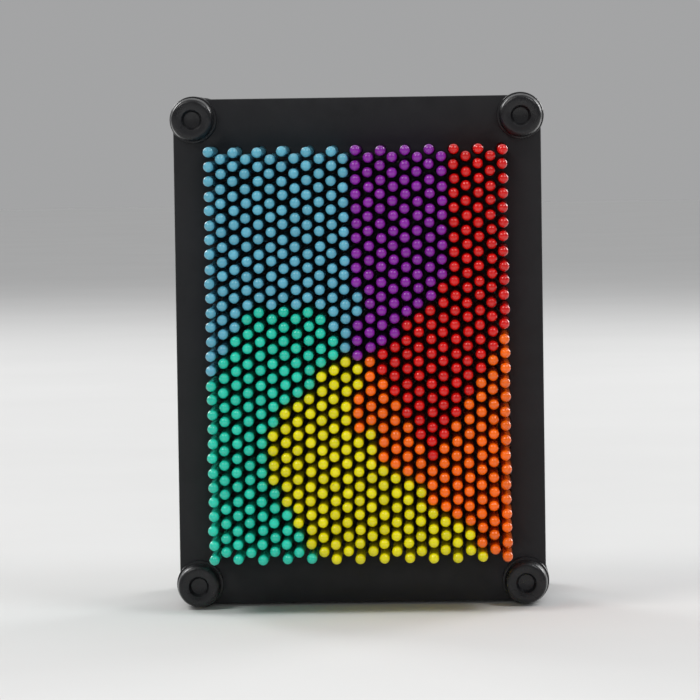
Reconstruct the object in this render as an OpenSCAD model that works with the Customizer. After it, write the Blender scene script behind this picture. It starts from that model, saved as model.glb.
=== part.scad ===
// Pin art impression toy: a bed of sliding pins in a shallow black tray, with a
// clear viewing plate held in front of the heads on four posts.
// +Z is up. A hand pushes the pins' tips from -Y, and the picture shows from +Y.

/* [Pin field] */
// Distance between neighbouring pins in one column
pin_pitch = 3.5; // [3.4:0.02:3.54]
// Distance between neighbouring columns, a little closer than an even honeycomb
column_step = 2.94; // [2.9:0.02:3]
// Number of pin columns
columns = 25; // [13:2:25]
// Number of pins in the middle column and every second one beside it
rows = 29; // [17:2:29]

/* [Pins] */
// Diameter of a pin's rod
rod_d = 2.5; // [2.2:0.02:2.6]
// Length of the rod from its tip to the head
rod_l = 36.7; // [34:0.1:37]
// Diameter of the domed head
head_d = 3.1; // [3:0.02:3.2]
// Height of the domed head
head_h = 2; // [1.2:0.1:2.4]
// Clearance around a rod in its guide holes
rod_clearance = 0.15; // [0.1:0.01:0.16]
// Gap under the heads when the pins stand fully out
head_gap = 0.2; // [0.1:0.05:0.5]

/* [Tray and plates] */
// Width of the plates
plate_w = 90; // [90:0.5:94]
// Height of the plates
plate_h = 124; // [124:0.5:130]
// Thickness of each guide plate
guide_t = 2; // [1.6:0.1:2.5]
// Depth of the tray over both guide plates
tray_d = 12; // [9:0.5:14]
// Thickness of the tray's walls
wall_t = 4.5; // [2:0.1:5]
// How far the walls sit inside the plates' edges
wall_recess = 0.8; // [0.4:0.1:1.2]
// Free space between the front guide plate and the clear plate
view_gap = 25; // [25:0.5:28]
// Thickness of the clear plate
clear_t = 3; // [2:0.1:4]

/* [Corners] */
// Distance of each post's axis from the plates' edges
corner_inset = 5; // [4.6:0.1:5]
// Diameter of the tray's round corners and of the collars
corner_d = 11.5; // [11:0.1:12]
// Diameter of a post between its collar and the clear plate
post_d = 8.4; // [7:0.1:9.5]
// Height of the collar at a post's foot
collar_h = 3; // [2:0.5:5]
// Largest diameter of a knob's grip
knob_d = 10.6; // [9.5:0.1:11]
// Length of a knob in front of the clear plate
front_knob_l = 9; // [8.5:0.5:12]
// Length of a knob behind the tray
rear_knob_l = 8; // [8:0.5:10]
// Diameter of the stud inside each corner
stud_d = 3; // [2.5:0.1:3.4]
// How deep a stud is screwed into each knob
stud_grip = 5; // [4:0.5:5]

/* [Hidden] */
$fn = 48;

half_columns = (columns - 1) / 2;
hole_d = rod_d + 2 * rod_clearance;
stud_clearance = 0.2;
thread_clearance = 0.1;

post_x = plate_w / 2 - corner_inset;
post_z = plate_h / 2 - corner_inset;
mid_z = post_z + corner_d / 2;

// Faces of the stack along Y, from the tray's back to the ends of the front knobs
front_reach = tray_d + view_gap + clear_t + front_knob_l;
pin_reach = rod_l - tray_d - head_gap;
tray_y = (pin_reach - front_reach) / 2;
front_guide_y = tray_y + tray_d - guide_t;
gap_y = tray_y + tray_d;
clear_y = gap_y + view_gap;
front_knob_y = clear_y + clear_t;
pin_y = tray_y - pin_reach;

// Corner name, side in X and side in Z
CORNERS = [
    ["lower_left", -1, -1], ["lower_right", 1, -1],
    ["upper_left", -1, 1], ["upper_right", 1, 1]
];

// Colour of the pins, how many slides that colour is split into, and its shade
COLOURS = [
    ["blue", 5, "#63b5c9"], ["purple", 4, "#83289a"], ["red", 5, "#dc2028"],
    ["orange", 4, "#f07018"], ["yellow", 5, "#ebe11a"], ["green", 6, "#28c8a0"]
];

// Straight edges between the colours, counted in columns and rows from the field's centre:
// a point, and the slope in rows per column
purple_foot = [2, 0.63, 0.823];
red_left = [1, 0.09, -1.472];
red_right = [12, 1.8, 1.516];
orange_foot = [0, -5.46, -0.779];
yellow_top = [0, 1.31, 0.866];
green_foot = [-7, -9, -1.516];
green_top_left = [-9, 3.34, 1.516];
green_top_right = [-2.54, 3.34, -2.6];
// Upright and level edges between the colours, in columns and in rows
centre_column = 0.5;
purple_right = 7.5;
purple_tip = -0.3;
blue_notch = [2.66, 4.63];
orange_notch = [-5.29, -2.43];
orange_step = 1.5;
yellow_left = -7.5;
green_top = 3.34;

function over(x, z, edge) = z > edge[1] + edge[2] * (x - edge[0]);

function colour_right(x, z) =
    x < centre_column && z > blue_notch[0] && z < blue_notch[1] ? "blue" :
    x < purple_right && z > purple_tip && over(x, z, purple_foot) ? "purple" :
    over(x, z, red_left) && over(x, z, red_right) ? "red" :
    x < centre_column ? (z > orange_notch[0] && z < orange_notch[1] ? "orange" : "yellow") :
    x < orange_step ? (z > orange_notch[0] ? "orange" : "yellow") :
    over(x, z, orange_foot) ? "orange" : "yellow";

function colour_left(x, z) =
    x > yellow_left && !over(x, z, yellow_top) && over(x, z, green_foot) ? "yellow" :
    z > green_top || over(x, z, green_top_left) || over(x, z, green_top_right) ? "blue" :
    "green";

function colour_at(x, z) = x > -centre_column ? colour_right(x, z) : colour_left(x, z);

function pins_in_column(i) = rows - (i % 2 == 0 ? 0 : 1);

// Every pin's column and row from the field's centre, row by row from the bottom
PINS = [
    for (row = [0 : rows - 1])
        for (i = [-half_columns : half_columns])
            if (row < pins_in_column(i)) [i, row - (pins_in_column(i) - 1) / 2]
];

function place(p) = [p[0] * column_step, p[1] * pin_pitch];

function pins_of(colour) = [for (p = PINS) if (colour_at(p[0], p[1]) == colour) p];

// Band number q of a colour's pins, out of count bands of equal size
function band(pins, q, count) = [
    for (n = [floor((q - 1) * len(pins) / count) : floor(q * len(pins) / count) - 1]) pins[n]
];

function pins_name(colour, q) = str("pins_", colour, "_", q);

// Stands a shape drawn in X and Z up at depth y, with thickness t towards +Y
module slab(y, t) {
    translate([0, y + t, mid_z])
        rotate([90, 0, 0])
            linear_extrude(t)
                children();
}

// Lays a shape turned about +Z along +Y, at x and z from the field's centre
module along_y(x, y, z) {
    translate([x, y, mid_z + z])
        rotate([-90, 0, 0])
            children();
}

module plate_outline(d) {
    square([plate_w - 2 * corner_inset, plate_h], center = true);
    square([plate_w, plate_h - 2 * corner_inset], center = true);
    for (c = CORNERS)
        translate([c[1] * post_x, c[2] * post_z])
            circle(d = d);
}

module stud_holes() {
    for (c = CORNERS)
        translate([c[1] * post_x, c[2] * post_z])
            circle(d = stud_d + 2 * stud_clearance);
}

module clear_plate() {
    color("lightcyan", 0.35)
        slab(clear_y, clear_t)
            difference() {
                plate_outline(2 * corner_inset);
                stud_holes();
            }
}

module guide_plate(y) {
    color("#1c1c1e")
        slab(y, guide_t)
            difference() {
                plate_outline(corner_d);
                stud_holes();
                for (p = PINS)
                    translate(place(p))
                        circle(d = hole_d);
            }
}

// A wall of the tray, hollowed at both ends to sit against the corner sleeves
module wall(size, centre) {
    color("#242426")
        slab(tray_y + guide_t, tray_d - 2 * guide_t)
            difference() {
                translate(centre)
                    square(size, center = true);
                for (c = CORNERS)
                    translate([c[1] * post_x, c[2] * post_z])
                        circle(d = corner_d);
            }
}

module side_wall(side) {
    wall([wall_t, 2 * post_z], [side * (plate_w / 2 - wall_recess - wall_t / 2), 0]);
}

module end_wall(side) {
    wall([2 * post_x, wall_t], [0, side * (plate_h / 2 - wall_recess - wall_t / 2)]);
}

// A turned sleeve of length l around a stud
module sleeve(l, d) {
    bore_r = stud_d / 2 + stud_clearance;
    rotate_extrude()
        polygon([[bore_r, 0], [d / 2, 0], [d / 2, l], [bore_r, l]]);
}

module corner_sleeve(c) {
    color("#242426")
        along_y(c[1] * post_x, tray_y + guide_t, c[2] * post_z)
            sleeve(tray_d - 2 * guide_t, corner_d);
}

// A post between the tray and the clear plate, with a wide collar at its foot
module post(c) {
    bore_r = stud_d / 2 + stud_clearance;
    chamfer = 0.5;
    collar_r = corner_d / 2;
    post_r = post_d / 2;
    color("#1c1c1e")
        along_y(c[1] * post_x, gap_y, c[2] * post_z)
            rotate_extrude()
                polygon([
                    [bore_r, 0], [collar_r, 0], [collar_r, collar_h - chamfer],
                    [collar_r - chamfer, collar_h], [post_r, collar_h],
                    [post_r, view_gap - chamfer], [post_r - chamfer, view_gap],
                    [bore_r, view_gap]
                ]);
}

// A barrel-shaped knob of length l, with a ring at its foot and a dished end
module knob(l) {
    ring_r = corner_d / 2;
    ring_h = 1.4;
    neck_r = knob_d / 2 - 0.5;
    neck_h = 2.1;
    grip_r = knob_d / 2;
    grip_h = (neck_h + l) / 2;
    rim_r = knob_d / 2 - 0.9;
    dish_r = 2.4;
    dish_depth = 1.8;
    bore_r = stud_d / 2 + thread_clearance;
    rotate_extrude()
        polygon([
            [bore_r, 0], [ring_r, 0], [ring_r, ring_h], [neck_r, ring_h],
            [neck_r, neck_h], [grip_r - 0.12, neck_h + 0.6], [grip_r, grip_h],
            [grip_r - 0.12, l - 1.4], [grip_r - 0.4, l - 0.5], [rim_r, l],
            [dish_r, l], [dish_r - 0.3, l - dish_depth], [0, l - dish_depth],
            [0, stud_grip], [bore_r, stud_grip]
        ]);
}

module front_knob(c) {
    color("#1c1c1e")
        along_y(c[1] * post_x, front_knob_y, c[2] * post_z)
            knob(front_knob_l);
}

module rear_knob(c) {
    color("#1c1c1e")
        translate([c[1] * post_x, tray_y, mid_z + c[2] * post_z])
            rotate([90, 0, 0])
                knob(rear_knob_l);
}

module tie_studs() {
    l = front_knob_y - tray_y + 2 * stud_grip;
    color("silver")
        for (c = CORNERS)
            along_y(c[1] * post_x, tray_y - stud_grip, c[2] * post_z)
                cylinder(d = stud_d, h = l);
}

// One pin from its rounded tip to its domed head
module pin() {
    r = rod_d / 2;
    head_r = head_d / 2;
    top = rod_l + head_h;
    rotate_extrude()
        polygon([
            [0, 0], [0.5 * r, 0.16 * r], [0.87 * r, 0.5 * r], [r, r],
            [r, rod_l], [head_r, rod_l], [head_r, top - 0.62 * head_r],
            [0.78 * head_r, top - 0.24 * head_r], [0.4 * head_r, top - 0.05 * head_r],
            [0, top]
        ]);
}

module pin_band(c, q) {
    color(c[2])
        for (p = band(pins_of(c[0]), q, c[1]))
            along_y(place(p)[0], pin_y, place(p)[1])
                pin();
}

clear_plate();
guide_plate(front_guide_y);  // front_guide_plate
guide_plate(tray_y);  // rear_guide_plate
side_wall(-1);  // side_wall_left
side_wall(1);  // side_wall_right
end_wall(-1);  // end_wall_bottom
end_wall(1);  // end_wall_top
tie_studs();
for (c = CORNERS) {
    corner_sleeve(c);
    post(c);
    front_knob(c);
    rear_knob(c);
}
for (c = COLOURS)
    for (q = [1 : c[1]])
        pin_band(c, q);
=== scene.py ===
"""Looks of a pin art impression toy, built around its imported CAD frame.

The touch side faces -Y, towards the main camera; the clear viewing plate is at +Y.
Lengths are in metres; those written in millimetres are multiplied by MM on the spot.
"""

import math
import random

import bmesh
import bpy
import numpy as np
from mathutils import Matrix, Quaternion, Vector


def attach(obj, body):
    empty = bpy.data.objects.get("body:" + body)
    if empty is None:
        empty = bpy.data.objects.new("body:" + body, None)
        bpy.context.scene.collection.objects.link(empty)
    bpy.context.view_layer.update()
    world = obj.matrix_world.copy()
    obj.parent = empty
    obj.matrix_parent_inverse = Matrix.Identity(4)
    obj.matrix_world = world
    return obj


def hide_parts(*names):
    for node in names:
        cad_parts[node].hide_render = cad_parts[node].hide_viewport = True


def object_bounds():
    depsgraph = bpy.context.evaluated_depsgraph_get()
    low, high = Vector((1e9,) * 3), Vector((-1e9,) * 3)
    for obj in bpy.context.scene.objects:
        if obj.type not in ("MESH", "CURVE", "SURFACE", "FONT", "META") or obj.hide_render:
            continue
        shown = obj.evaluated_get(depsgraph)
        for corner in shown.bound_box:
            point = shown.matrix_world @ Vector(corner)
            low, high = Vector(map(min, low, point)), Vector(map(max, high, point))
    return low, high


MM = 0.001
CORNERS = ("lower_left", "lower_right", "upper_left", "upper_right")
BLACK = (0.0085, 0.0085, 0.0095)
WORLD_HORIZON = 0.375
WORLD_ZENITH = 0.78
WORLD_NEAR_SIDE = 0.48

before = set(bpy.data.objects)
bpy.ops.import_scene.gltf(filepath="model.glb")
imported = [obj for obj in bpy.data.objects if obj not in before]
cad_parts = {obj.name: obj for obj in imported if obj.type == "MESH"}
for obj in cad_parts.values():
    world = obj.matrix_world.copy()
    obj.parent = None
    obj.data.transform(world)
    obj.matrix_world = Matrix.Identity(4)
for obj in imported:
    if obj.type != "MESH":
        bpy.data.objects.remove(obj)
CAD_LOW, CAD_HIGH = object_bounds()
random.seed(7)


# ---------------------------------------------------------------- places from the frame

CROWN_DEPTH = 0.02 * MM


def node_points(node):
    """A CAD node's vertices, as an array in metres."""
    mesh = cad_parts[node].data
    points = np.zeros(len(mesh.vertices) * 3, np.float32)
    mesh.vertices.foreach_get("co", points)
    return points.reshape(-1, 3).astype(float)


def box_of(node):
    points = node_points(node)
    return points.min(0), points.max(0)


def pin_axes(node):
    """Where each pin of a node stands in X and Z: the top of its domed head is on its axis."""
    points = node_points(node)
    crowns = points[points[:, 1] > points[:, 1].max() - CROWN_DEPTH]
    return sorted({(round(x, 5), round(z, 5)) for x, _, z in crowns})


def axis_of(node):
    low, high = box_of(node)
    return (low[0] + high[0]) / 2, (low[2] + high[2]) / 2


def reach_from(node, axis, depths):
    """How far a node's points stand from an axis, for the points between two depths."""
    points = node_points(node)
    near = points[(points[:, 1] >= depths[0]) & (points[:, 1] <= depths[1])]
    return np.hypot(near[:, 0] - axis[0], near[:, 2] - axis[1])


# NEIGHBOUR_REACH is less than the distance from a pin's axis to its neighbours' heads.
ANY_DEPTH = (-1, 1)
HEAD_H = 2.0 * MM
NEIGHBOUR_REACH = 1.8 * MM
DEPTH_MARGIN = 0.01 * MM

GUIDE = box_of("rear_guide_plate")
CLEAR = box_of("clear_plate")
FIELD_Z = (GUIDE[0][2] + GUIDE[1][2]) / 2
POSTS = [axis_of("post_" + c) for c in CORNERS]
BOSS_R = POSTS[0][1] - CAD_LOW.z
STUD_HOLE_R = reach_from("rear_guide_plate", POSTS[0], ANY_DEPTH).min()

PIN_NODES = sorted(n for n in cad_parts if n.startswith("pins_"))
PIN_PLACES = [axis for node in PIN_NODES for axis in pin_axes(node)]
PIN_LOW, PIN_HIGH = box_of(PIN_NODES[0])
FIRST_PIN = pin_axes(PIN_NODES[0])[0]
HEAD_FROM = PIN_HIGH[1] - HEAD_H - DEPTH_MARGIN


def first_pin_radius(depths):
    """The first pin's greatest radius between two depths, its neighbours left out."""
    reach = reach_from(PIN_NODES[0], FIRST_PIN, depths)
    return reach[reach < NEIGHBOUR_REACH].max()


HOLE_R = reach_from("rear_guide_plate", FIRST_PIN, ANY_DEPTH).min()
HEAD_R = first_pin_radius((HEAD_FROM, PIN_HIGH[1] - HEAD_H / 2))
ROD_R = first_pin_radius((PIN_LOW[1] + 1 * MM, HEAD_FROM))
CLEARANCE = HOLE_R - ROD_R


# ---------------------------------------------------------------- materials

class Nodes:
    """A material's node tree, with its Principled shader ready."""

    def __init__(self, name):
        self.material = bpy.data.materials.new(name)
        self.material.use_nodes = True
        self.tree = self.material.node_tree
        self.shader = self.tree.nodes["Principled BSDF"]
        self.output = self.tree.nodes["Material Output"]

    def add(self, kind, **settings):
        node = self.tree.nodes.new(kind)
        for key, value in settings.items():
            setattr(node, key, value)
        return node

    def link(self, source, target):
        self.tree.links.new(source, target)

    def noise(self, scale, detail=2.0, roughness=0.5):
        """Noise over the object's own coordinates; scale is in features per metre."""
        place = self.add("ShaderNodeTexCoord")
        node = self.add("ShaderNodeTexNoise")
        node.inputs["Scale"].default_value = scale
        node.inputs["Detail"].default_value = detail
        node.inputs["Roughness"].default_value = roughness
        self.link(place.outputs["Object"], node.inputs["Vector"])
        return node.outputs["Fac"]

    def remap(self, value, low, high, from_low=0.0, from_high=1.0):
        node = self.add("ShaderNodeMapRange")
        node.inputs["From Min"].default_value = from_low
        node.inputs["From Max"].default_value = from_high
        node.inputs["To Min"].default_value = low
        node.inputs["To Max"].default_value = high
        self.link(value, node.inputs["Value"])
        return node.outputs["Result"]

    def blend(self, factor, first, second):
        """A colour between two, by factor."""
        node = self.add("ShaderNodeMix", data_type="RGBA")
        node.inputs["A"].default_value = (*first, 1)
        node.inputs["B"].default_value = (*second, 1)
        self.link(factor, node.inputs["Factor"])
        return node.outputs["Result"]

    def bump(self, height, distance, strength):
        node = self.add("ShaderNodeBump")
        node.inputs["Distance"].default_value = distance
        node.inputs["Strength"].default_value = strength
        self.link(height, node.inputs["Height"])
        self.link(node.outputs["Normal"], self.shader.inputs["Normal"])

    def set(self, **sockets):
        for name, value in sockets.items():
            self.shader.inputs[name.replace("_", " ")].default_value = value


def shade(colour, factor):
    return tuple(min(1.0, c * factor) for c in colour)


def pin_plastic(name, colour):
    """Glossy moulded plastic; each pin has its own tone."""
    m = Nodes(name)
    tone = m.add("ShaderNodeAttribute", attribute_name="pin_tone")
    cloud = m.noise(900, 2)
    mixed = m.add("ShaderNodeMath", operation="MULTIPLY_ADD")
    mixed.inputs[1].default_value = 0.35
    m.link(cloud, mixed.inputs[0])
    m.link(tone.outputs["Fac"], mixed.inputs[2])
    factor = m.remap(mixed.outputs["Value"], 0, 1, 0, 1.35)
    m.link(m.blend(factor, shade(colour, 0.84), shade(colour, 1.12)), m.shader.inputs["Base Color"])
    m.link(m.remap(m.noise(2600, 3), 0.08, 0.14, 0.3, 0.7), m.shader.inputs["Roughness"])
    m.bump(m.noise(1400, 2), 0.02 * MM, 0.06)
    m.set(IOR=1.5, Specular_IOR_Level=0.62)
    return m.material


def tray_plastic():
    """Black plastic with the fine even grain of an eroded mould."""
    m = Nodes("tray_black_plastic")
    cloud = m.noise(70, 4, 0.6)
    m.link(m.blend(cloud, shade(BLACK, 0.8), shade(BLACK, 1.7)), m.shader.inputs["Base Color"])
    m.link(m.remap(m.noise(260, 4, 0.6), 0.36, 0.56, 0.3, 0.7), m.shader.inputs["Roughness"])
    m.bump(m.noise(5200, 3, 0.6), 0.05 * MM, 0.45)
    m.set(IOR=1.5, Specular_IOR_Level=0.3)
    return m.material


def fitting_plastic():
    """Smoother black plastic, with patches of handling haze."""
    m = Nodes("fitting_black_plastic")
    cloud = m.noise(190, 3, 0.6)
    m.link(m.blend(cloud, shade(BLACK, 0.7), shade(BLACK, 1.6)), m.shader.inputs["Base Color"])
    m.link(m.remap(m.noise(420, 4, 0.65), 0.2, 0.4, 0.3, 0.7), m.shader.inputs["Roughness"])
    m.bump(m.noise(3800, 2), 0.03 * MM, 0.3)
    m.set(IOR=1.5, Specular_IOR_Level=0.36)
    return m.material


def clear_face():
    """The plate's polished faces: a view through, a faint tint and a mirror sheen that grows
    with the fifth power of the slant, the same from within as from outside."""
    m = Nodes("clear_plastic_face")
    m.tree.nodes.remove(m.shader)
    through = m.add("ShaderNodeBsdfTransparent")
    through.inputs["Color"].default_value = (0.955, 0.975, 0.972, 1)
    mirror = m.add("ShaderNodeBsdfGlossy")
    mirror.inputs["Color"].default_value = (1, 1, 1, 1)
    m.link(m.remap(m.noise(240, 4, 0.7), 0.015, 0.07, 0.35, 0.75), mirror.inputs["Roughness"])
    facing = m.add("ShaderNodeLayerWeight")
    facing.inputs["Blend"].default_value = 0.5
    steep = m.add("ShaderNodeMath", operation="POWER")
    steep.inputs[1].default_value = 5.0
    m.link(facing.outputs["Facing"], steep.inputs[0])
    mix = m.add("ShaderNodeMixShader")
    m.link(m.remap(steep.outputs["Value"], 0.039, 1.0), mix.inputs["Fac"])
    m.link(through.outputs["BSDF"], mix.inputs[1])
    m.link(mirror.outputs["BSDF"], mix.inputs[2])
    m.link(mix.outputs["Shader"], m.output.inputs["Surface"])
    return m.material


def clear_edge():
    """The plate's cut edges, coloured pale with streaks: painted glow for the light the plate gathers and
    lets out at its edges.
    """
    m = Nodes("clear_plastic_edge_painted_glow")
    # Painted glow: the pale streaked edge colour stands in for the light coming out of the plate's edges.
    glow_streaks = m.noise(900, 3, 0.7)
    m.link(m.blend(glow_streaks, (0.72, 0.86, 0.87), (0.93, 0.97, 0.97)), m.shader.inputs["Base Color"])
    m.link(m.remap(m.noise(1500, 2), 0.06, 0.22), m.shader.inputs["Roughness"])
    m.set(IOR=1.49, Transmission_Weight=0.72)
    return m.material


def steel():
    m = Nodes("stud_steel")
    m.link(m.blend(m.noise(900, 3), (0.42, 0.42, 0.43), (0.62, 0.62, 0.63)), m.shader.inputs["Base Color"])
    m.link(m.remap(m.noise(1800, 2), 0.25, 0.45), m.shader.inputs["Roughness"])
    m.set(Metallic=1.0)
    return m.material


def floor_paper():
    m = Nodes("floor_paper")
    m.link(m.blend(m.noise(9, 3), (0.67, 0.67, 0.665), (0.72, 0.72, 0.715)), m.shader.inputs["Base Color"])
    m.link(m.remap(m.noise(40, 2), 0.75, 0.9), m.shader.inputs["Roughness"])
    m.bump(m.noise(900, 2), 0.1 * MM, 0.1)
    return m.material


PIN_LOOKS = {
    "blue": (0.095, 0.345, 0.460),
    "purple": (0.195, 0.011, 0.278),
    "red": (0.525, 0.004, 0.003),
    "orange": (0.780, 0.118, 0.001),
    "yellow": (0.635, 0.570, 0.001),
    "green": (0.014, 0.485, 0.350),
}
PIN_MATERIALS = {c: pin_plastic("pin_" + c, look) for c, look in PIN_LOOKS.items()}
TRAY = tray_plastic()
FITTING = fitting_plastic()
CLEAR_FACE = clear_face()
CLEAR_EDGE = clear_edge()


# ---------------------------------------------------------------- mesh helpers

EDGE_BEND = 0.3


def add_piece(name, mesh, body, materials, sharp=35):
    """Makes an object of a mesh, smooth but for edges sharper than the angle, on its body."""
    mesh.shade_smooth()
    mesh.set_sharp_from_angle(angle=math.radians(sharp))
    for material in materials:
        mesh.materials.append(material)
    piece = bpy.data.objects.new(name, mesh)
    bpy.context.scene.collection.objects.link(piece)
    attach(piece, body)
    return piece


def grid_mesh(name, points, faces):
    mesh = bpy.data.meshes.new(name)
    mesh.from_pydata(points, [], faces)
    mesh.update()
    return mesh


def capped_lathe_faces(rings, sides, start):
    """Faces of a turned form whose rings follow one another from vertex start, and are
    followed by a pole for each end."""
    faces = []
    for r in range(rings - 1):
        a, b = start + r * sides, start + (r + 1) * sides
        faces += [(a + i, a + (i + 1) % sides, b + (i + 1) % sides, b + i) for i in range(sides)]
    last = start + (rings - 1) * sides
    pole = start + rings * sides
    faces += [(pole, start + (i + 1) % sides, start + i) for i in range(sides)]
    faces += [(pole + 1, last + i, last + (i + 1) % sides) for i in range(sides)]
    return faces


def turned(name, profile, centre, y, forward, body, material, sides=56):
    """A form turned about a line along Y. profile is (distance along the line, radius) in
    metres, once round the closed section; forward is 1 for +Y and -1 for -Y."""
    points = []
    for along, radius in profile:
        for i in range(sides):
            angle = forward * 2 * math.pi * i / sides
            points.append((
                centre[0] + radius * math.sin(angle),
                y + forward * along,
                centre[1] + radius * math.cos(angle),
            ))
    count = len(profile)
    faces = []
    for r in range(count):
        a, b = r * sides, (r + 1) % count * sides
        faces += [(a + i, b + i, b + (i + 1) % sides, a + (i + 1) % sides) for i in range(sides)]
    return add_piece(name, grid_mesh(name, points, faces), body, [material])


def arc(centre, radius, start, end, steps):
    """Points on an arc in degrees, as (first, second) coordinates."""
    angles = [math.radians(start + (end - start) * i / steps) for i in range(steps + 1)]
    return [(centre[0] + radius * math.cos(a), centre[1] + radius * math.sin(a)) for a in angles]


def offset_loop(loop, distance):
    """A closed loop of (x, z) points moved to its left by distance, corners mitred."""
    count = len(loop)
    moved = []
    for i in range(count):
        before, here, after = (Vector(loop[j % count]) for j in (i - 1, i, i + 1))
        first, second = (here - before).normalized(), (after - here).normalized()
        normal = Vector((-first.y - second.y, first.x + second.x)).normalized()
        reach = distance / max(0.5, normal.dot(Vector((-first.y, first.x))))
        moved.append(here + normal * reach)
    return moved


def prism(name, outline, holes, y_low, y_high, round_off, hole_round_off):
    """A plate between two depths with eased edges, each of two facets that meet at EDGE_BEND.
    outline runs anticlockwise in (x, z) as seen from -Y, holes run clockwise, so the solid is
    always on a loop's left."""
    form = bmesh.new()
    edges = {0: [], 1: []}
    for k, loop in enumerate([outline, *holes]):
        ease = round_off if k == 0 else hole_round_off
        bend = ease * EDGE_BEND
        layers = [
            (offset_loop(loop, ease), y_low), (offset_loop(loop, bend), y_low + bend),
            (loop, y_low + ease), (loop, y_high - ease),
            (offset_loop(loop, bend), y_high - bend), (offset_loop(loop, ease), y_high),
        ]
        rings = [[form.verts.new((p[0], y, p[1])) for p in points] for points, y in layers]
        count = len(loop)
        for lower, upper in zip(rings, rings[1:]):
            for i in range(count):
                j = (i + 1) % count
                form.faces.new((lower[i], lower[j], upper[j], upper[i]))
        for side, ring in enumerate((rings[0], rings[-1])):
            edges[side] += [form.edges.get((ring[i], ring[(i + 1) % count])) for i in range(count)]
    for side, normal in ((0, (0, -1, 0)), (1, (0, 1, 0))):
        bmesh.ops.triangle_fill(form, edges=edges[side], use_beauty=True, normal=normal)
    bmesh.ops.recalc_face_normals(form, faces=form.faces)
    mesh = bpy.data.meshes.new(name)
    form.to_mesh(mesh)
    form.free()
    return mesh


def circle(centre, radius, sides):
    """A hole's loop, clockwise as seen from -Y."""
    return [
        (centre[0] + radius * math.sin(2 * math.pi * i / sides),
         centre[1] + radius * math.cos(2 * math.pi * i / sides))
        for i in range(sides)
    ]


# ---------------------------------------------------------------- pins

# The sways are the shares of its clearance by which a pin's two ends stand off its axis.
PIN_SIDES = 16
TIP_SWAY = (0.78, 0.98)
HEAD_SWAY = (0.55, 0.8)
DEPTH_SPREAD = 0.16 * MM
TIP_DEGREES = (16, 34, 52, 70, 90)
HEAD_DEGREES = (0, 22, 42, 60, 74)
DOME_TO_RADIUS = 0.78
ROD_WAIST = 0.985
DIMPLE_DEPTH = 0.12 * MM


def pin_profile(length):
    """(distance from the tip, radius) of a pin: round tip, rod, domed head with a gate dimple."""
    tip = [(ROD_R * (1 - math.cos(math.radians(a))), ROD_R * math.sin(math.radians(a)))
           for a in TIP_DEGREES]
    neck = length - HEAD_H
    dome = HEAD_R * DOME_TO_RADIUS
    crown = length - dome
    head = [(neck, ROD_R), (neck + 0.02 * MM, HEAD_R - 0.16 * MM), (neck + 0.18 * MM, HEAD_R)]
    head += [(crown + dome * math.sin(math.radians(a)), HEAD_R * math.cos(math.radians(a)))
             for a in HEAD_DEGREES]
    dimple = [(length - 0.03 * MM, 0.34 * MM), (length - 0.1 * MM, 0.26 * MM)]
    return tip + [(neck * 0.5, ROD_R * ROD_WAIST)] + head + dimple


def pin_group(node):
    """All pins of one slide as one mesh, each with its own lean, depth and tone."""
    low, high = box_of(node)
    length = high[1] - low[1]
    profile = pin_profile(length)
    along = np.array([p[0] for p in profile])
    radius = np.array([p[1] for p in profile])
    angles = 2 * np.pi * np.arange(PIN_SIDES) / PIN_SIDES
    ring = np.stack([np.sin(angles), np.zeros(PIN_SIDES), np.cos(angles)], 1)
    template = ring[None] * radius[:, None, None]
    template[:, :, 1] = along[:, None]
    poles = np.array([[0, 0, 0], [0, length - DIMPLE_DEPTH, 0]])
    template = np.concatenate([template.reshape(-1, 3), poles])
    points, faces, tones = [], [], []
    for x, z in pin_axes(node):
        turn = random.uniform(0, 2 * math.pi)
        side = np.array([math.cos(turn), math.sin(turn)])
        sway_tip = side * CLEARANCE * random.uniform(*TIP_SWAY)
        sway_head = side * CLEARANCE * random.uniform(*HEAD_SWAY)
        pin = template.copy()
        pin[:, 1] += low[1] + random.uniform(0, DEPTH_SPREAD)
        share = np.clip((pin[:, 1:2] - low[1]) / length, 0, 1)
        shift = sway_tip * (1 - share) + sway_head * share
        pin[:, 0] += x + shift[:, 0]
        pin[:, 2] += z + shift[:, 1]
        start = len(points) * len(template)
        points.append(pin)
        faces += capped_lathe_faces(len(profile), PIN_SIDES, start)
        tones.append(np.full(len(template), random.random()))
    mesh = grid_mesh(node + "_moulded", np.concatenate(points).tolist(), faces)
    tone = mesh.attributes.new("pin_tone", "FLOAT", "POINT")
    tone.data.foreach_set("value", np.concatenate(tones).astype(np.float32))
    colour = node.split("_")[1]
    piece = add_piece(node + "_moulded", mesh, node, [PIN_MATERIALS[colour]], 50)
    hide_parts(node)


# ---------------------------------------------------------------- tray

def plate_outline(half_width, corner_r, steps=12):
    """A plate's outline: straight edges at the clear plate's, and round corners about the
    post axes, which stand proud of the edges where corner_r is more than the corner inset."""
    inset = half_width - POSTS[1][0]
    proud = math.degrees(math.acos(min(1.0, inset / corner_r)))
    points = []
    for corner, turn in ((1, -90), (3, 0), (2, 90), (0, 180)):
        points += arc(POSTS[corner], corner_r, turn - proud, turn + 90 + proud, steps)
    return points


def guide_plate(node):
    """A guide plate, every pin hole with an eased rim."""
    low, high = box_of(node)
    holes = [circle(p, STUD_HOLE_R, 24) for p in POSTS]
    holes += [circle(p, HOLE_R, 16) for p in PIN_PLACES]
    outline = plate_outline(CLEAR[1][0], BOSS_R)
    mesh = prism(node + "_moulded", outline, holes, low[1], high[1],
                 round_off=0.35 * MM, hole_round_off=0.1 * MM)
    piece = add_piece(node + "_moulded", mesh, "frame", [TRAY], 40)
    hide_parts(node)


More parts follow.
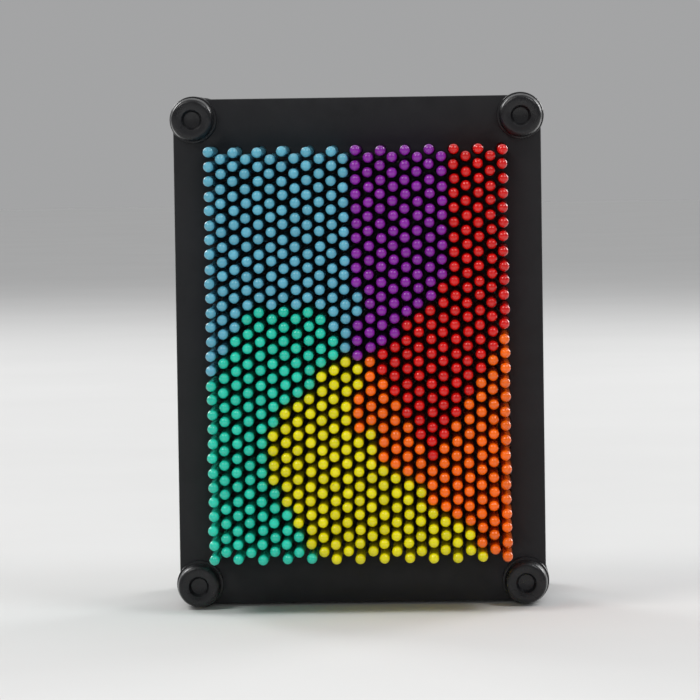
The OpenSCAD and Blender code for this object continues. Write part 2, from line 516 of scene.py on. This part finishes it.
def tray_wall(node, first, last):
    """One wall of the tray between two corners, its ends hollowed to sit against the sleeves."""
    low, high = box_of(node)
    upright = first[0] == last[0]
    s = 0 if upright else 2
    axis, start, end = (first[0], first[1], last[1]) if upright else (first[1], first[0], last[0])
    steps, sleeve_gap, seam = 8, 0.02 * MM, 0.03 * MM
    near_ends, far_ends = [], []
    for i in range(steps + 1):
        across = low[s] + (high[s] - low[s]) * i / steps
        reach = math.sqrt((BOSS_R + sleeve_gap) ** 2 - (across - axis) ** 2)
        near_ends.append((across, start + reach))
        far_ends.append((across, end - reach))
    loop = near_ends + far_ends[::-1]
    if not upright:
        loop = [(b, a) for a, b in loop][::-1]
    mesh = prism(node + "_moulded", loop, [], low[1] + seam, high[1] - seam,
                 round_off=0.25 * MM, hole_round_off=0)
    piece = add_piece(node + "_moulded", mesh, "frame", [TRAY], 40)
    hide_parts(node)


def corner_sleeve(corner):
    node = "corner_sleeve_" + corner
    low, high = box_of(node)
    length = high[1] - low[1]
    seam, ease = 0.02 * MM, 0.3 * MM
    profile = [(seam, STUD_HOLE_R), (seam, BOSS_R - ease), (ease, BOSS_R),
               (length - ease, BOSS_R), (length - seam, BOSS_R - ease), (length - seam, STUD_HOLE_R)]
    piece = turned(node + "_moulded", profile, axis_of(node), low[1], 1, "frame", TRAY)
    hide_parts(node)


# ---------------------------------------------------------------- posts and knobs

def post(corner):
    """A post with its wide foot collar, a fillet where the shaft leaves it and a soft top edge."""
    node = "post_" + corner
    low, high = box_of(node)
    length = high[1] - low[1]
    collar_h, shaft_r = 3.0 * MM, 4.2 * MM
    foot_ease, shoulder, fillet, top_ease, seam = 0.25 * MM, 0.55 * MM, 0.5 * MM, 0.35 * MM, 0.02 * MM
    profile = [(seam, STUD_HOLE_R), (seam, BOSS_R - foot_ease), (foot_ease, BOSS_R)]
    profile += [(collar_h - shoulder + y, BOSS_R - shoulder + r)
                for r, y in arc((0, 0), shoulder, 0, 90, 5)]
    profile += [(collar_h + fillet - fillet * math.cos(a), shaft_r + fillet - fillet * math.sin(a))
                for a in (0.0, 0.5, 1.0, math.pi / 2)]
    profile += [(length - top_ease, shaft_r), (length - 0.1 * MM, shaft_r - 0.1 * MM),
                (length - seam / 2, shaft_r - top_ease), (length - seam / 2, STUD_HOLE_R)]
    piece = turned(node + "_moulded", profile, axis_of(node), low[1], 1, "frame", FITTING)
    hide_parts(node)


def knob(node, forward):
    """A barrel-shaped knob: ring at its foot, a neck groove, a swelling grip and a dished end."""
    low, high = box_of(node)
    length = high[1] - low[1]
    y = low[1] if forward > 0 else high[1]
    seam, bore_r, bore_end, core_r = 0.01 * MM, 1.6 * MM, 5.0 * MM, 0.02 * MM
    ring_h, ease, bend, neck_r = 1.4 * MM, 0.3 * MM, 0.09 * MM, 4.85 * MM
    rim, swelling, grip_steps = 0.9 * MM, 0.3 * MM, 12
    grip_from, grip_to, grip_end_r = 2.1 * MM, length - rim, 5.3 * MM - swelling
    floor_at, dish_r, lip, lip_bend = length - 1.8 * MM, 2.4 * MM, 0.25 * MM, 0.08 * MM
    ring = [(seam, bore_r), (seam, BOSS_R - ease), (0.1 * MM, BOSS_R - bend), (ease, BOSS_R),
            (ring_h - ease, BOSS_R), (ring_h - bend, BOSS_R - bend), (ring_h, BOSS_R - ease)]
    neck = [(ring_h, neck_r), (grip_from - 0.1 * MM, neck_r)]
    grip = []
    for i in range(grip_steps + 1):
        share = i / grip_steps
        swell = 1 - (2 * share - 1) ** 2
        grip.append((grip_from + (grip_to - grip_from) * share, grip_end_r + swelling * swell))
    grip += [(grip_to + rim * math.sin(a), grip_end_r - rim * (1 - math.cos(a)))
             for a in (0.35, 0.7, 1.05, 1.35, math.pi / 2)]
    dish = [(length, dish_r + lip), (length - lip_bend, dish_r + lip_bend), (length - lip, dish_r),
            (floor_at + 0.5 * MM, dish_r - 0.2 * MM), (floor_at + 0.12 * MM, dish_r - 0.5 * MM),
            (floor_at, dish_r - 1.0 * MM), (floor_at, core_r)]
    profile = ring + neck + grip + dish + [(bore_end, core_r), (bore_end, bore_r)]
    piece = turned(node + "_moulded", profile, axis_of(node), y, forward, "frame", FITTING)
    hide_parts(node)


# ---------------------------------------------------------------- clear plate

def clear_plate():
    """The viewing plate: polished faces, and flame-polished edges whose brightness is painted glow in their
    colour.
    """
    low, high = box_of("clear_plate")
    outline = plate_outline(high[0], high[0] - POSTS[1][0], 14)
    holes = [circle(p, STUD_HOLE_R, 24) for p in POSTS]
    mesh = prism("clear_viewing_plate", outline, holes, low[1], high[1],
                 round_off=0.4 * MM, hole_round_off=0.1 * MM)
    piece = add_piece("clear_viewing_plate", mesh, "frame", [CLEAR_FACE, CLEAR_EDGE], 20)
    flat = 0.98
    for face in mesh.polygons:
        face.material_index = 0 if abs(face.normal.y) > flat else 1
    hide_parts("clear_plate")


# ---------------------------------------------------------------- the stage

def area_light(name, place, target, size, radiance, colour=(1, 1, 1), mirrored=True):
    """A square soft box of a given side and brightness, unseen by the camera itself, and by
    glossy faces too where mirrored is False."""
    light = bpy.data.lights.new(name, "AREA")
    light.shape = "SQUARE"
    light.size = size
    light.energy = math.pi * radiance * size * size
    light.color = colour
    lamp = bpy.data.objects.new(name, light)
    lamp.location = place
    lamp.rotation_euler = (Vector(target) - Vector(place)).to_track_quat("-Z", "Y").to_euler()
    lamp.visible_camera = False
    lamp.visible_glossy = mirrored
    bpy.context.scene.collection.objects.link(lamp)


def studio():
    """Two boxes high on either side make the pins' twin highlights; the main light comes from
    just above the camera's line, so that it reaches in between the rods."""
    middle = (0, 0, FIELD_Z)
    area_light("key_left", (-0.66, -0.58, 1.02), middle, size=0.5, radiance=6.8, colour=(1.0, 0.98, 0.95))
    area_light("key_right", (0.66, -0.58, 1.02), middle, size=0.45, radiance=6.8, colour=(0.97, 0.985, 1.0))
    area_light("front_main", (0, -2.38, 0.355), middle, size=0.5, radiance=27, mirrored=False)
    area_light("back_left", (-1.0, 1.3, 0.9), middle, size=0.6, radiance=8)
    area_light("back_right", (1.0, 1.2, 0.6), middle, size=0.6, radiance=8)
    world_light()


def world_light():
    """A pale surround, brighter overhead and dimmer on the camera's side of the room."""
    world = bpy.data.worlds.new("studio")
    bpy.context.scene.world = world
    world.use_nodes = True
    tree = world.node_tree
    split = tree.nodes.new("ShaderNodeSeparateXYZ")
    tree.links.new(tree.nodes.new("ShaderNodeTexCoord").outputs["Generated"], split.inputs["Vector"])

    def ramp(axis, span, values):
        node = tree.nodes.new("ShaderNodeMapRange")
        node.inputs["From Min"].default_value, node.inputs["From Max"].default_value = span
        node.inputs["To Min"].default_value, node.inputs["To Max"].default_value = values
        tree.links.new(split.outputs[axis], node.inputs["Value"])
        return node.outputs["Result"]

    product = tree.nodes.new("ShaderNodeMath")
    product.operation = "MULTIPLY"
    tree.links.new(ramp("Z", span=(0.05, 0.9), values=(WORLD_HORIZON, WORLD_ZENITH)), product.inputs[0])
    tree.links.new(ramp("Y", span=(-0.5, 0.3), values=(WORLD_NEAR_SIDE, 1.0)), product.inputs[1])
    background = tree.nodes["Background"]
    background.inputs["Color"].default_value = (0.985, 0.99, 1.0, 1)
    tree.links.new(product.outputs["Value"], background.inputs["Strength"])


def floor():
    """A wide pale disc under the toy."""
    sides, radius = 96, 6.0
    rim = [(radius * math.cos(2 * math.pi * i / sides), radius * math.sin(2 * math.pi * i / sides), 0)
           for i in range(sides)]
    mesh = grid_mesh("floor", rim, [tuple(range(sides))])
    mesh.materials.append(floor_paper())
    disc = bpy.data.objects.new("floor", mesh)
    bpy.context.scene.collection.objects.link(disc)


def camera():
    """Looks at the touch side from a little to the right and above, with the small roll that
    the photograph shows."""
    distance = 1.02
    azimuth, elevation, roll = math.radians(1.4), math.radians(2.9), math.radians(-0.82)
    seen_width = 167.7 * MM
    aim_x, aim_over_middle = -1.82 * MM, 1.35 * MM
    target = Vector((aim_x, PIN_LOW[1], FIELD_Z + aim_over_middle))
    back = Vector((
        math.sin(azimuth) * math.cos(elevation),
        -math.cos(azimuth) * math.cos(elevation),
        math.sin(elevation),
    ))
    data = bpy.data.cameras.new("camera")
    data.sensor_width = 36
    data.lens = data.sensor_width * distance / seen_width
    eye = bpy.data.objects.new("camera", data)
    eye.location = target + back * distance
    turned_to = (-back).to_track_quat("-Z", "Y") @ Quaternion((0, 0, 1), roll)
    eye.rotation_euler = turned_to.to_euler()
    bpy.context.scene.collection.objects.link(eye)
    bpy.context.scene.camera = eye


for pins in PIN_NODES:
    pin_group(pins)
guide_plate("rear_guide_plate")
guide_plate("front_guide_plate")
tray_wall("side_wall_left", POSTS[0], POSTS[2])
tray_wall("side_wall_right", POSTS[1], POSTS[3])
tray_wall("end_wall_bottom", POSTS[0], POSTS[1])
tray_wall("end_wall_top", POSTS[2], POSTS[3])
for name in CORNERS:
    corner_sleeve(name)
    post(name)
    knob("front_knob_" + name, 1)
    knob("rear_knob_" + name, -1)
clear_plate()
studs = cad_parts["tie_studs"]
studs.data.materials.clear()
studs.data.materials.append(steel())
floor()
studio()
camera()
bpy.context.scene.view_settings.view_transform = "Standard"
